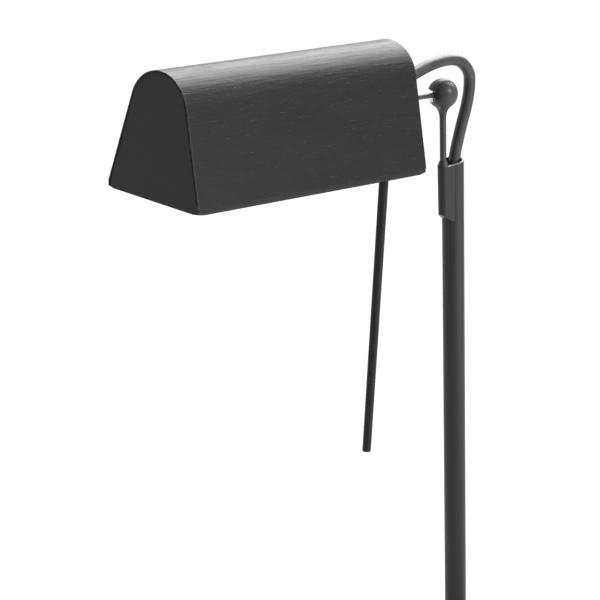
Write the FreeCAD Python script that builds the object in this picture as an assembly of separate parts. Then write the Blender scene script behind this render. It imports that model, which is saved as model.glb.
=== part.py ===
import FreeCAD, Part
import math
import os

from FreeCAD import Vector as V

# Piano lamp: a weighted round foot, an upright tube with a swaged teardrop head, a thin rod in
# the head, a split ball swivel on the rod and a long lampshade that the swivel carries.
# Millimetres. The origin is the centre of the foot's underside, +Z is up, the shade reaches
# towards -X. One STEP file per piece.

os.makedirs("parts", exist_ok=True)

# ---- clearances -------------------------------------------------------------------------------
RUN = 0.08           # radial clearance of running fits
GAP = 0.3            # clearance between moving pieces that do not touch
FLAT = 0.04          # axial play of stacked rings

# ---- foot -------------------------------------------------------------------------------------
PAD_T = 1.5          # felt pad under the foot
COVER_R = 75.0       # spun cover, outside
PAD_INSET = 0.8      # the pad stops short of the cover's edge
COVER_H = 30.0       # top of the cover above the table
COVER_WALL = 1.2
COVER_ROUND = 8.0
PLATE_T = 2.0        # closing plate under the weight
WEIGHT_CLEAR = 2.2   # between the weight and the cover's wall
WEIGHT_CHAMFER = 7.0
HUB_UNDER = 23.6     # underside of the weight's hub
HUB_R = 14.0         # room for the nut
LEAD_SLOT = 10.0     # slot in the weight for the lead
LEAD_Z = 9.0         # height of the lead in the foot
SCREW_R = 2.0
SCREW_HEAD_R = 3.8
SCREW_IN = 20.0      # screws, inside the cover's edge
SCREW_DEPTH = 9.0
NIPPLE_R = 5.0
NIPPLE_BORE = 3.65
NIPPLE_FOOT = 17.5   # lower end of the threaded nipple
NIPPLE_TOP = 44.0
WASHER_R = 10.5
WASHER_T = 1.2
NUT_AF = 14.0
NUT_SHORT = 0.5      # the nipple's thread stands past the nut
COLLAR_R = 10.5
COLLAR_H = 5.0
COLLAR_BAND = 2.4    # straight lower band of the collar
COLLAR_BEVEL = 0.8
LEAD_BEND = 17.0     # where the lead is level again under the nipple
GLAND_HOLE = 4.9
GLAND_FLANGE = 6.4
GLAND_IN = 3.0       # inner face of the gland, inside the cover's edge
GLAND_OUT = 2.6      # outer face of its flange
LEAD_FIT = 0.1       # radial clearance of rubber and flex

# ---- pole and its head ------------------------------------------------------------------------
POLE_R = 6.5
POLE_WALL = 1.2
RIM_Z = 366.2        # mouth of the tube on its axis; the head's depths are from here
RIM_FALL = 0.12      # the mouth falls towards the nose by this much per mm
NOSE_X = -8.3        # axis of the rod and of the ball
NOSE_TOP_R = 3.4
NOSE_FOOT_R = 3.0
NOSE_DEPTH = 30.5    # foot of the nose
BLEND_DEPTH = 34.2   # where the head has run out into the round tube
HEAD_EASE = 0.25     # the head's flat sides start this far inside the round tube
TOE_WALL = 2.6       # metal under the hollow of the nose
ROD_R = 1.9
ROD_DEPTH = 25.2     # foot of the rod in the head
BRAZE_DEPTH = 20.2
BRAZE_CONE_H = 3.3   # height of the braze above the mouth
BRAZE_REACH = 2.6    # the braze ends this far behind the rod's axis
BRAZE_RISE = 0.15    # thickness of its cone where it ends on the rod

# ---- ball swivel ------------------------------------------------------------------------------
BALL_UP = 42.5       # centre of the ball above the rim
BALL_R = 8.75
NECK_Z = -13.8       # end of the cup's neck below the ball's centre
NECK_R = 2.05
NECK_ROUND = 9.0
TANG_R = 1.2
TANG_TOP = -8.2
SPLIT_Z = 1.7        # joint line between cup and cap
SPIGOT_R = 6.6
SPIGOT_FOOT = -1.5
CAVITY_R = 5.3
CAVITY_FLOOR = -5.3
CAVITY_TOP = 6.1
SWIVEL_R = 4.8
SEAT_CLEAR = 0.05
SEAT_INNER = 3.5
SEAT_OUTER = 5.25
SEAT_BORE = 1.6
SPRING_BORE = 2.8
SLOT_H = 3.4
SLOT_SIDE = 1.8
SLOT_SWEEP = 85.0    # the stem's travel in the slot

# ---- stem -------------------------------------------------------------------------------------
STEM_R = 1.5
STEM_SHOULDER = 1.95
SHOULDER_T = 1.3
STEM_COLLAR = 2.6
COLLAR_T = 1.6
SHOULDER_X = 3.4     # faces that the stem is clamped to in the inner ball
WASHER_X = 2.3
END_WASHER_T = 0.45
END_NUT_R = 2.45
END_NUT_T = 1.3
END_NUT_ROOM = 0.5
END_THREAD = 0.2     # thread past the end nut
STEM_NUT_AF = 5.5
STEM_NUT_T = 2.3
STEM_TAIL = 2.1      # thread past the nut
REST_TILT = 8.45

# ---- shade, in the frame of the ball and the stem ---------------------------------------------
SHADE_IN = -48.3     # inner end
SHADE_OUT = -224.3   # outer end
SHADE_FOOT = -33.2
SHADE_HALF = 34.0
SHADE_H = 69.0
SHADE_ROUND = 21.0   # radius of the rounded top
LIP_H = 3.2
LIP_ROUND = 0.6      # corners of the lip, in plan
TOE_ROUND = 6.0      # the same at the very bottom, where the corner is dressed off
TOE_H = 0.9
SHEET = 0.8
PLATE_RECESS = 0.3
PLATE_SHEET = 1.0
PLATE_BEND = 0.8     # round between the plate and its flange
PLATE_HEM = 0.6
FLANGE_D = 6.0

# ---- flex -------------------------------------------------------------------------------------
FLEX_R = 3.4
FLEX_UP = 9.0        # flex hole above the stem
FLEX_CLEAR = 0.6     # round the flex in the head of the tube
FLEX_STRAIGHT = 8.0  # length outside the shade before its first bend
LOOP_HIGH = [(-32.5, 17.7), (-14.0, 19.6), (4.5, 17.3), (14.5, 8.0), (15.2, -1.3)]    # from the ball
LOOP_LOW = [(12.5, 30.2), (7.2, 18.5)]    # from the rim
LOOP_FOOT = -2.0     # where the loop is upright, from the rim
LOOP_END = 11.0      # the loop's piece ends this far below that point
SLACK_START = 30.0   # the lead's first straight length in the tube
SLACK_STEP = 40.0    # its slack bends in the tube
SLACK_OUT = 0.9
SLACK_SIDE = 0.6
SLACK_BENDS = 6
GUIDE_Z = 52.0       # where the lead is straight again above the nipple
WAVE_OUT = 1.2       # its slack between the nipple and the gland
WAVE_BACK = 0.6

# ---- nipple, lampholder and bulb --------------------------------------------------------------
HOLE_R = 4.5
NIPPLE_EASE = 0.2    # the nipple's bore round the flex
NIPPLE_HEAD_T = 1.0
NIPPLE_RIM = 1.2
NIPPLE_NUT_T = 2.4
NIPPLE_NUT_RIM = 1.4
BUSH_RIM = 0.3
BUSH_T = 1.8
HOLDER_R = 14.0
HOLDER_REAR = -57.7
HOLDER_SPLIT = -75.0
HOLDER_MOUTH = -103.0
HOLDER_WALL = 1.0
HOLDER_BACK = 1.6    # thickness of the lampholder's back
HOLDER_ROUND = 2.0
BEAD_T = 2.0
BEAD_OUT = 0.8
CORE_T = 8.0
CORE_RECESS = 5.0
THREAD_R = 7.0
THREAD_WALL = 0.6
THREAD_LEN = 16.0
THREAD_HOLE = 3.2    # clear of the centre contact
PIN_R = 1.6          # the centre contact
PIN_LEN = 7.0
PIN_DEPTH = 6.0      # face of the contact, from the back of the ceramic core
PIN_HEAD_R = 2.6
PIN_HEAD_T = 1.0
CAP_GAP = 0.1        # between the bulb's cap and the thread sleeve
CAP_WALL = 0.6
CAP_LEN = 17.0
CAP_BEVEL = 2.0
TIP_R = 2.4          # the bulb's own contact
TIP_T = 1.6
BULB_R = 12.5
BULB_END = -196.0
BULB_BACK = 4.4      # the glass starts this far inside the bulb's cap
BULB_NECK = 15.0     # length of the neck
BULB_SHOULDER = 9.0
GLASS = 0.8          # wall of the bulb

# ---- pull switch ------------------------------------------------------------------------------
DRUM_R = 11.5
DRUM_DOWN = 17.5
DRUM_LEN = 11.7
PULL_SIDE = -9.5
PULL_IN = 7.0        # where the pull passes the shade's underside, from the inner end
PULL_LEAN = 1.97
PULL_LEN = 169.8
PULL_TOP_R = 2.72
PULL_END_R = 2.5
BARREL_R = 4.8
BARREL_BORE = 3.9
BARREL_FOOT = -1.5   # heights along the pull's line, from the shade's underside
BARREL_TOP = 22.0
BARREL_CEILING = 20.5
BARREL_FLOOR = 1.5
SPRING_LEN = 12.0
SPRING_WIRE = 0.3
SPRING_TURNS = 5.5
SPRING_FREE = 0.05   # play at each end of the spring
CORD_SKIN = 0.03     # wall of the ferrule where the pull fits in
FLANGE_T = 1.5
PULL_PIN_R = 1.2
PULL_PIN_LEN = 4.0
PULL_TOP = 1.0       # the pull's shoulder, under the ferrule
DRUM_SCREW_R = 1.25
DRUM_SCREW_HEAD = 2.4
DRUM_SCREW_HEAD_T = 1.5
DRUM_SCREW_LEN = 6.0
DRUM_SCREW_UP = 7.5  # above and below the drum's axis
DRUM_SCREW_SIDE = 2.5
LEAD_R = 0.9         # wires between the switch and the lampholder
LEAD_BACK = 12.0     # from the lampholder's back
LEAD_SIDE = 2.5
LEAD_IN = 2.2        # wire inside the lampholder's wall
LEAD_HOLE = 0.2
LEAD_UP = 5.0        # above the drum's axis

# ---- worked out from the sizes above ----------------------------------------------------------
NOSE_FOOT_Z = RIM_Z - NOSE_DEPTH
NOSE_BLEND_Z = RIM_Z - BLEND_DEPTH
ROD_FOOT_Z = RIM_Z - ROD_DEPTH
BALL_Z = RIM_Z + BALL_UP
PAD_R = COVER_R - PAD_INSET
WEIGHT_R = COVER_R - COVER_WALL - WEIGHT_CLEAR
SCREW_CIRCLE = COVER_R - SCREW_IN
PLATE_INSIDE = SHADE_IN - PLATE_RECESS - PLATE_SHEET
PLATE_FACE = SHADE_IN - PLATE_RECESS
DRUM_END = PLATE_INSIDE - DRUM_LEN
LOOP_Z = RIM_Z + LOOP_FOOT
FERRULE_R = PULL_TOP_R + CORD_SKIN
FLANGE_S = BARREL_FLOOR + SPRING_LEN
PIN_TOP_S = FLANGE_S + FLANGE_T + PULL_PIN_LEN
LEAD_X = HOLDER_REAR - LEAD_BACK
LEAD_ENTRY = LEAD_UP - DRUM_DOWN
CORE_BACK = HOLDER_SPLIT - HOLDER_WALL
THREAD_BACK = CORE_BACK - CORE_T + CORE_RECESS
PIN_FACE = CORE_BACK - PIN_DEPTH
CAP_BACK = PIN_FACE - TIP_T
GLASS_NECK_R = THREAD_R - CAP_GAP - CAP_WALL
BEYOND = 1.0         # how far cutting tools run past the faces that they cut
Z = V(0, 0, 1)


# ---- helpers ----------------------------------------------------------------------------------
def cyl(r, z0, z1, x=0.0, y=0.0):
    return Part.makeCylinder(r, z1 - z0, V(x, y, z0))


def tube(ro, ri, z0, z1, x=0.0, y=0.0):
    return cyl(ro, z0, z1, x, y).cut(cyl(ri, z0 - BEYOND, z1 + BEYOND, x, y))


def rod_x(r, x0, x1, y=0.0, z=0.0):
    return Part.makeCylinder(r, abs(x1 - x0), V(max(x0, x1), y, z), V(-1, 0, 0))


def tube_x(ro, ri, x0, x1, y=0.0, z=0.0):
    lo, hi = min(x0, x1), max(x0, x1)
    return rod_x(ro, lo, hi, y, z).cut(rod_x(ri, lo - BEYOND, hi + BEYOND, y, z))


def box(x0, x1, y0, y1, z0, z1):
    return Part.makeBox(x1 - x0, y1 - y0, z1 - z0, V(x0, y0, z0))


def hexagon(across, z0, z1):
    r = across / math.sqrt(3)
    pts = [V(r * math.cos(k * math.pi / 3), r * math.sin(k * math.pi / 3), z0) for k in range(7)]
    return Part.Face(Part.makePolygon(pts)).extrude(V(0, 0, z1 - z0))


def nut_x(across, bore, x0, x1, z=0.0):
    nut = hexagon(across, 0, x1 - x0).cut(cyl(bore, -BEYOND, x1 - x0 + BEYOND))
    nut.rotate(V(0, 0, 0), Z, 30)
    nut.rotate(V(0, 0, 0), V(0, 1, 0), 90)
    nut.translate(V(x0, 0, z))
    return nut


def turned(pts):
    """Solid of revolution about Z from a closed outline of (radius, height) points."""
    wire = Part.makePolygon([V(r, 0, z) for r, z in pts + pts[:1]])
    return Part.Face(wire).revolve(V(0, 0, 0), Z, 360)


def filleted_path(points):
    """Straight runs joined by tangent arcs. Returns the wire and the smallest arc radius."""
    edges = []
    radii = []
    last = points[0]
    for i in range(1, len(points) - 1):
        p = points[i]
        a = points[i - 1] - p
        b = points[i + 1] - p
        run = 0.45 * min(a.Length, b.Length)
        a.normalize()
        b.normalize()
        half = (math.pi - a.getAngle(b)) / 2
        radius = run / math.tan(half)
        bisector = (a + b).normalize()
        centre = p + bisector * math.hypot(run, radius)
        mid = centre - bisector * radius
        start = p + a * run
        end = p + b * run
        edges.append(Part.LineSegment(last, start).toShape())
        edges.append(Part.Arc(start, mid, end).toShape())
        radii.append(radius)
        last = end
    edges.append(Part.LineSegment(last, points[-1]).toShape())
    return Part.Wire(edges), min(radii)


def cord(name, r, points):
    path, tight = filleted_path(points)
    along = points[1] - points[0]
    ring = Part.Wire(Part.makeCircle(r, points[0], along))
    solid = path.makePipeShell([ring], True, False)
    want = math.pi * r * r * path.Length
    print("%s: radius %.2f, length %.1f, tightest bend %.1f, volume %.3f of section x length"
          % (name, r, path.Length, tight, solid.Volume / want))
    return solid


def at_ball(shape):
    shape.translate(V(NOSE_X, 0, BALL_Z))
    return shape


def tilted(shape):
    """From the frame of the level stem to the rest pose."""
    shape.rotate(V(0, 0, 0), V(0, 1, 0), REST_TILT)
    return at_ball(shape)


def world(x, y, z):
    t = math.radians(REST_TILT)
    return V(NOSE_X + x * math.cos(t) + z * math.sin(t), y, BALL_Z - x * math.sin(t) + z * math.cos(t))


def one_solid(shape):
    solids = shape.Solids
    solid = max(solids, key=lambda s: s.Volume)
    return solid.removeSplitter() if len(solids) == 1 else solid


def save(name, shape):
    shape.exportStep("parts/%s.step" % name)


# ---- foot -------------------------------------------------------------------------------------
def foot_pad():
    return cyl(PAD_R, 0, PAD_T)


def foot_plate():
    plate = cyl(COVER_R - COVER_WALL, PAD_T, PAD_T + PLATE_T)
    return plate.cut(foot_screws())


def foot_screws():
    top = PAD_T + PLATE_T
    screws = []
    for k in range(3):
        a = math.radians(60 + 120 * k)
        x, y = SCREW_CIRCLE * math.cos(a), SCREW_CIRCLE * math.sin(a)
        head = Part.makeCone(SCREW_HEAD_R, SCREW_R, PLATE_T, V(x, y, PAD_T))
        screws.append(head.fuse(cyl(SCREW_R, top, top + SCREW_DEPTH, x, y)).removeSplitter())
    return Part.makeCompound(screws)


def foot_weight():
    top = COVER_H - COVER_WALL
    base = PAD_T + PLATE_T
    body = turned([(NIPPLE_R + GAP, HUB_UNDER), (NIPPLE_R + GAP, top), (WEIGHT_R - WEIGHT_CHAMFER, top),
                   (WEIGHT_R, top - WEIGHT_CHAMFER), (WEIGHT_R, base), (HUB_R, base), (HUB_R, HUB_UNDER)])
    slot = box(0, COVER_R, -LEAD_SLOT / 2, LEAD_SLOT / 2, base - BEYOND, LEAD_Z + LEAD_SLOT / 2)
    return body.cut(slot).cut(foot_screws())


def foot_cover():
    def skin(inset):
        top = COVER_H - inset
        r = COVER_R - inset
        rnd = COVER_ROUND - inset
        c = math.sqrt(0.5)
        edges = [
            Part.LineSegment(V(0, 0, PAD_T), V(r, 0, PAD_T)).toShape(),
            Part.LineSegment(V(r, 0, PAD_T), V(r, 0, top - rnd)).toShape(),
            Part.Arc(V(r, 0, top - rnd), V(r - rnd + rnd * c, 0, top - rnd + rnd * c),
                     V(r - rnd, 0, top)).toShape(),
            Part.LineSegment(V(r - rnd, 0, top), V(0, 0, top)).toShape(),
            Part.LineSegment(V(0, 0, top), V(0, 0, PAD_T)).toShape()]
        return Part.Face(Part.Wire(edges)).revolve(V(0, 0, 0), Z, 360)
    cover = skin(0).cut(skin(COVER_WALL))
    cover = cover.cut(cyl(NIPPLE_R + RUN, COVER_H - 2 * COVER_WALL, COVER_H + BEYOND))
    return cover.cut(rod_x(GLAND_HOLE, COVER_R - 2 * COVER_WALL, COVER_R + BEYOND, 0, LEAD_Z))


def lead_gland():
    body = rod_x(GLAND_HOLE, COVER_R - GLAND_IN, COVER_R + GLAND_OUT, 0, LEAD_Z)
    flange = rod_x(GLAND_FLANGE, COVER_R - GLAND_IN, COVER_R + GLAND_OUT, 0, LEAD_Z)
    flange = flange.cut(cyl(COVER_R, 0, COVER_H))
    bore = rod_x(FLEX_R + LEAD_FIT, COVER_R - 2 * GLAND_IN, COVER_R + 2 * GLAND_OUT, 0, LEAD_Z)
    return body.fuse(flange).cut(bore).removeSplitter()


def pole_nipple():
    wide = cyl(POLE_R - POLE_WALL, COVER_H, NIPPLE_TOP)
    body = wide.fuse(cyl(NIPPLE_R, NIPPLE_FOOT, COVER_H)).removeSplitter()
    return body.cut(cyl(NIPPLE_BORE, NIPPLE_FOOT - BEYOND, NIPPLE_TOP + BEYOND))


def foot_washer():
    return tube(WASHER_R, NIPPLE_R, HUB_UNDER - WASHER_T, HUB_UNDER)


def foot_nut():
    top = HUB_UNDER - WASHER_T
    return hexagon(NUT_AF, NIPPLE_FOOT + NUT_SHORT, top).cut(cyl(NIPPLE_R, 0, COVER_H))


def pole_collar():
    top = COVER_H + COLLAR_H
    band = COVER_H + COLLAR_BAND
    return turned([(POLE_R, COVER_H), (COLLAR_R, COVER_H), (COLLAR_R, band),
                   (COLLAR_R - COLLAR_BEVEL, band + COLLAR_BEVEL), (POLE_R + COLLAR_BEVEL, top),
                   (POLE_R, top)])


# ---- pole -------------------------------------------------------------------------------------
def nose_outline(r, inner, z):
    """Closed outline from the nose circle to lines that run into the round tube."""
    length = -NOSE_X
    a = math.asin((inner - r) / length)
    nx, ny = -math.sin(a), math.cos(a)
    up_n = V(NOSE_X + r * nx, r * ny, z)
    up_p = V(inner * nx, inner * ny, z)
    dn_n = V(up_n.x, -up_n.y, z)
    dn_p = V(up_p.x, -up_p.y, z)
    return Part.Wire([Part.LineSegment(up_p, up_n).toShape(),
                      Part.Arc(up_n, V(NOSE_X - r, 0, z), dn_n).toShape(),
                      Part.LineSegment(dn_n, dn_p).toShape(),
                      Part.LineSegment(dn_p, up_p).toShape()])


def head_prism(r_foot, r_top, inner, z0, z1):
    return Part.makeLoft([nose_outline(r_foot, inner, z0), nose_outline(r_top, inner, z1)], True, True)


def rim_cut():
    """Everything above the slanting mouth of the tube."""
    side = 3 * POLE_R
    low = RIM_Z - side * RIM_FALL
    high = RIM_Z + side * RIM_FALL
    top = high + side
    pts = [V(-side, -side, low), V(side, -side, high), V(side, -side, top), V(-side, -side, top)]
    return Part.Face(Part.makePolygon(pts + pts[:1])).extrude(V(0, 2 * side, 0))


def toe_cut(lift):
    """The wedge under the nose, so that the head runs out into the round tube."""
    rise = NOSE_FOOT_Z - NOSE_BLEND_Z
    out = NOSE_FOOT_R - NOSE_X - POLE_R
    slope = rise / out
    inset = 0.3 * out
    side = 2 * POLE_R
    x0, x1 = inset - POLE_R, -POLE_R - out - inset
    z0 = NOSE_BLEND_Z - inset * slope + lift
    z1 = NOSE_FOOT_Z + inset * slope + lift
    floor = NOSE_BLEND_Z - side
    pts = [V(x0, -side, z0), V(x1, -side, z1), V(x1, -side, floor), V(x0, -side, floor)]
    return Part.Face(Part.makePolygon(pts + pts[:1])).extrude(V(0, 2 * side, 0))


def pole_inside():
    inner = POLE_R - POLE_WALL
    top = RIM_Z + POLE_R
    nose = head_prism(ROD_R, ROD_R, inner - HEAD_EASE, NOSE_BLEND_Z, top).cut(toe_cut(TOE_WALL))
    return cyl(inner, COVER_H - BEYOND, top).fuse(nose)


def pole_tube():
    top = RIM_Z - RIM_FALL * NOSE_X + NOSE_TOP_R
    nose = head_prism(NOSE_FOOT_R, NOSE_TOP_R, POLE_R - HEAD_EASE, NOSE_BLEND_Z - BEYOND, top)
    outside = cyl(POLE_R, COVER_H, top).fuse(nose.cut(toe_cut(0)))
    return outside.cut(pole_inside()).cut(rim_cut())


def joint_rod():
    rod = cyl(ROD_R, ROD_FOOT_Z, BALL_Z + NECK_Z, NOSE_X)
    tang = cyl(TANG_R, BALL_Z + NECK_Z, BALL_Z + TANG_TOP, NOSE_X)
    return rod.fuse(tang).removeSplitter()


def rod_braze(pole):
    mouth = RIM_Z + RIM_FALL * NOSE_X
    foot = mouth - BRAZE_RISE
    side = 2 * POLE_R
    floor = RIM_Z - BRAZE_DEPTH
    fill = pole_inside().common(box(-side, NOSE_X + BRAZE_REACH, -side, side, floor, mouth))
    cone = Part.makeCone(NOSE_TOP_R, ROD_R + BRAZE_RISE, BRAZE_CONE_H, V(NOSE_X, 0, foot))
    lump = fill.fuse(cone).cut(cyl(ROD_R, ROD_FOOT_Z, BALL_Z, NOSE_X)).cut(pole)
    return lump.cut(cyl(FLEX_R + FLEX_CLEAR, NOSE_BLEND_Z, BALL_Z))


# ---- ball swivel ------------------------------------------------------------------------------
def slot_cutter():
    reach = 1.4 * BALL_R
    arm = box(-reach, 0, -SLOT_SIDE, SLOT_SIDE, -SLOT_H, SLOT_H)
    far = arm.copy()
    far.rotate(V(0, 0, 0), Z, -SLOT_SWEEP)
    pie = Part.makeCylinder(reach, 2 * SLOT_H, V(0, 0, -SLOT_H), Z, SLOT_SWEEP)
    pie.rotate(V(0, 0, 0), Z, 180 - SLOT_SWEEP)
    return arm.fuse(far).fuse(pie)


def neck_tangent():
    """Where the neck's hollow round leaves the ball."""
    reach = NECK_R + NECK_ROUND
    centre_z = -math.sqrt((BALL_R + NECK_ROUND) ** 2 - reach ** 2)
    k = BALL_R / (BALL_R + NECK_ROUND)
    return reach, centre_z, reach * k, centre_z * k


def ball_outside():
    """Ball with its neck, as one solid of revolution about Z."""
    cx, cz, tx, tz = neck_tangent()
    mid_a = math.atan2(tz - cz, tx - cx)
    mid_a = (mid_a + math.pi) / 2
    mid = V(cx + NECK_ROUND * math.cos(mid_a), 0, cz + NECK_ROUND * math.sin(mid_a))
    low = V(NECK_R, 0, cz)
    edges = [
        Part.Arc(V(0, 0, BALL_R), V(BALL_R, 0, 0), V(tx, 0, tz)).toShape(),
        Part.Arc(V(tx, 0, tz), mid, low).toShape(),
        Part.LineSegment(low, V(NECK_R, 0, NECK_Z)).toShape(),
        Part.LineSegment(V(NECK_R, 0, NECK_Z), V(0, 0, NECK_Z)).toShape(),
        Part.LineSegment(V(0, 0, NECK_Z), V(0, 0, BALL_R)).toShape()]
    return Part.Face(Part.Wire(edges)).revolve(V(0, 0, 0), Z, 360)


def ball_cup():
    cup = ball_outside().cut(cyl(2 * BALL_R, SPLIT_Z, 2 * BALL_R))
    cup = cup.cut(cyl(CAVITY_R, CAVITY_FLOOR, SPLIT_Z + BEYOND))
    cup = cup.cut(cyl(SPIGOT_R, SPIGOT_FOOT, SPLIT_Z + BEYOND))
    cup = cup.cut(cyl(TANG_R, NECK_Z - BEYOND, TANG_TOP))
    return at_ball(one_solid(cup.cut(slot_cutter())))


def ball_cap():
    dome = Part.makeSphere(BALL_R).common(cyl(2 * BALL_R, SPLIT_Z, 2 * BALL_R))
    cap = dome.fuse(cyl(SPIGOT_R, SPIGOT_FOOT, SPLIT_Z))
    cap = cap.cut(cyl(CAVITY_R, SPIGOT_FOOT - BEYOND, CAVITY_TOP))
    return at_ball(one_solid(cap.cut(slot_cutter())))


def ball_seat(side):
    """Dished ring over (side 1) or under (side -1) the inner ball."""
    ring = cyl(CAVITY_R - RUN, SEAT_INNER, SEAT_OUTER)
    ring = ring.cut(Part.makeSphere(SWIVEL_R + SEAT_CLEAR)).cut(cyl(SEAT_BORE, 0, BALL_R))
    if side < 0:
        ring = ring.mirror(V(0, 0, 0), Z)
    return at_ball(ring)


def ball_spring():
    return at_ball(tube(CAVITY_R - GAP, SPRING_BORE, SEAT_OUTER, CAVITY_TOP - FLAT))


def swivel_ball():
    ball = Part.makeSphere(SWIVEL_R)
    reach = 2 * SWIVEL_R
    ball = ball.cut(rod_x(STEM_R + FLAT, -reach, reach))
    ball = ball.cut(rod_x(STEM_SHOULDER + GAP, -reach, -SHOULDER_X))
    return tilted(ball.cut(rod_x(END_NUT_R + END_NUT_ROOM, WASHER_X, reach)))


# ---- stem -------------------------------------------------------------------------------------
def shade_stem():
    end = PLATE_INSIDE - STEM_NUT_T - STEM_TAIL
    tip = WASHER_X + END_WASHER_T + END_NUT_T + END_THREAD
    shoulder = -SHOULDER_X - FLAT
    body = rod_x(STEM_R, end, tip)
    body = body.fuse(rod_x(STEM_SHOULDER, shoulder - SHOULDER_T, shoulder))
    return tilted(body.fuse(rod_x(STEM_COLLAR, PLATE_FACE, PLATE_FACE + COLLAR_T)).removeSplitter())


def stem_washer():
    return tilted(tube_x(END_NUT_R + END_NUT_ROOM / 3, STEM_R, WASHER_X + FLAT, WASHER_X + END_WASHER_T))


def stem_end_nut():
    start = WASHER_X + END_WASHER_T
    return tilted(tube_x(END_NUT_R, STEM_R, start, start + END_NUT_T))


def stem_nut():
    return tilted(nut_x(STEM_NUT_AF, STEM_R, PLATE_INSIDE - STEM_NUT_T, PLATE_INSIDE))


# ---- shade ------------------------------------------------------------------------------------
def tangent_points(inset):
    """Upper end of the lip's straight side and the point where the flat side meets the top."""
    centre = SHADE_FOOT + SHADE_H - SHADE_ROUND
    px, pz = SHADE_HALF, SHADE_FOOT + LIP_H
    dx, dz = px, pz - centre
    dist = math.hypot(dx, dz)
    ang = math.atan2(dz, dx) + math.acos(SHADE_ROUND / dist)
    nx, nz = math.cos(ang), math.sin(ang)
    r = SHADE_ROUND - inset
    top = (r * nx, centre + r * nz)
    side = SHADE_HALF - inset
    foot = (side, (r - side * nx) / nz + centre)
    return foot, top, centre, r


def shade_section(inset, x, z0):
    """Outline across the shade, inset all round and closed at the height z0 in the lip."""
    foot, top, centre, r = tangent_points(inset)
    near = [V(x, foot[0], z0), V(x, foot[0], foot[1]), V(x, top[0], top[1])]
    far = [V(x, -p.y, p.z) for p in near]
    return Part.Face(Part.Wire([
        Part.LineSegment(near[0], near[1]).toShape(),
        Part.LineSegment(near[1], near[2]).toShape(),
        Part.Arc(near[2], V(x, 0, centre + r), far[2]).toShape(),
        Part.LineSegment(far[2], far[1]).toShape(),
        Part.LineSegment(far[1], far[0]).toShape(),
        Part.LineSegment(far[0], near[0]).toShape()]))


def plan_wire(r, z):
    """The shade's outline in plan, with rounded corners."""
    x0, x1, y = SHADE_OUT, SHADE_IN, SHADE_HALF
    c = r * (1 - math.sqrt(0.5))
    return Part.Wire([
        Part.LineSegment(V(x0 + r, -y, z), V(x1 - r, -y, z)).toShape(),
        Part.Arc(V(x1 - r, -y, z), V(x1 - c, -y + c, z), V(x1, -y + r, z)).toShape(),
        Part.LineSegment(V(x1, -y + r, z), V(x1, y - r, z)).toShape(),
        Part.Arc(V(x1, y - r, z), V(x1 - c, y - c, z), V(x1 - r, y, z)).toShape(),
        Part.LineSegment(V(x1 - r, y, z), V(x0 + r, y, z)).toShape(),
        Part.Arc(V(x0 + r, y, z), V(x0 + c, y - c, z), V(x0, y - r, z)).toShape(),
        Part.LineSegment(V(x0, y - r, z), V(x0, -y + r, z)).toShape(),
        Part.Arc(V(x0, -y + r, z), V(x0 + c, -y + c, z), V(x0 + r, -y, z)).toShape()])


def corner_knife():
    """What the rounded corners take off the lip."""
    toe = SHADE_FOOT + TOE_H
    lip_top = SHADE_FOOT + LIP_H
    form = Part.makeLoft([plan_wire(TOE_ROUND, SHADE_FOOT), plan_wire(LIP_ROUND, toe)], True, True)
    form = form.fuse(Part.Face(plan_wire(LIP_ROUND, toe)).extrude(V(0, 0, lip_top - toe)))
    y = SHADE_HALF
    block = box(SHADE_OUT - BEYOND, SHADE_IN + BEYOND, -y - BEYOND, y + BEYOND, SHADE_FOOT, lip_top)
    return block.cut(form)


def shade_shell():
    """Folded sheet with a double hem along its two long edges."""
    length = V(SHADE_IN - SHADE_OUT, 0, 0)
    outer = shade_section(0, SHADE_OUT, SHADE_FOOT).extrude(length)
    inner = shade_section(SHEET, SHADE_OUT, SHADE_FOOT - BEYOND).extrude(length)
    shell = outer.cut(inner).cut(corner_knife())
    short = PLATE_RECESS + FLANGE_D + GAP
    side = SHADE_HALF - SHEET
    for y in (-side, side - SHEET):
        hem = box(SHADE_OUT + short, SHADE_IN - short, y, y + SHEET, SHADE_FOOT, SHADE_FOOT + LIP_H)
        shell = shell.fuse(hem)
    return tilted(shell.removeSplitter())


def end_plate(x_face, into):
    """Flat pressed end with a turned-in flange; `into` is the way to the middle of the shade."""
    start = x_face + into * PLATE_RECESS
    tray = shade_section(SHEET, start, SHADE_FOOT).extrude(V(into * FLANGE_D, 0, 0))
    rim = [e for e in tray.Edges
           if abs(e.BoundBox.XMin - start) < 0.01 and abs(e.BoundBox.XMax - start) < 0.01
           and e.BoundBox.ZMax > SHADE_FOOT + 0.1]
    tray = tray.makeFillet(PLATE_BEND, rim)
    core_x = start + into * PLATE_SHEET
    core = shade_section(2 * SHEET, core_x, SHADE_FOOT - BEYOND).extrude(V(into * FLANGE_D, 0, 0))
    x0 = core_x
    x1 = core_x + into * PLATE_HEM
    side = SHADE_HALF - 2 * SHEET
    hem = box(min(x0, x1), max(x0, x1), -side, side, SHADE_FOOT, SHADE_FOOT + LIP_H)
    return tray.cut(core).fuse(hem).cut(corner_knife()).removeSplitter()


def end_plate_outer():
    return tilted(end_plate(SHADE_OUT, 1))


def end_plate_inner():
    plate = end_plate(SHADE_IN, -1)
    inside = PLATE_INSIDE - BEYOND
    plate = plate.cut(rod_x(STEM_R, inside, SHADE_IN + BEYOND))
    plate = plate.cut(rod_x(HOLE_R, inside, SHADE_IN + BEYOND, 0, FLEX_UP))
    return tilted(plate.cut(switch_screw_set()))


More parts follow.
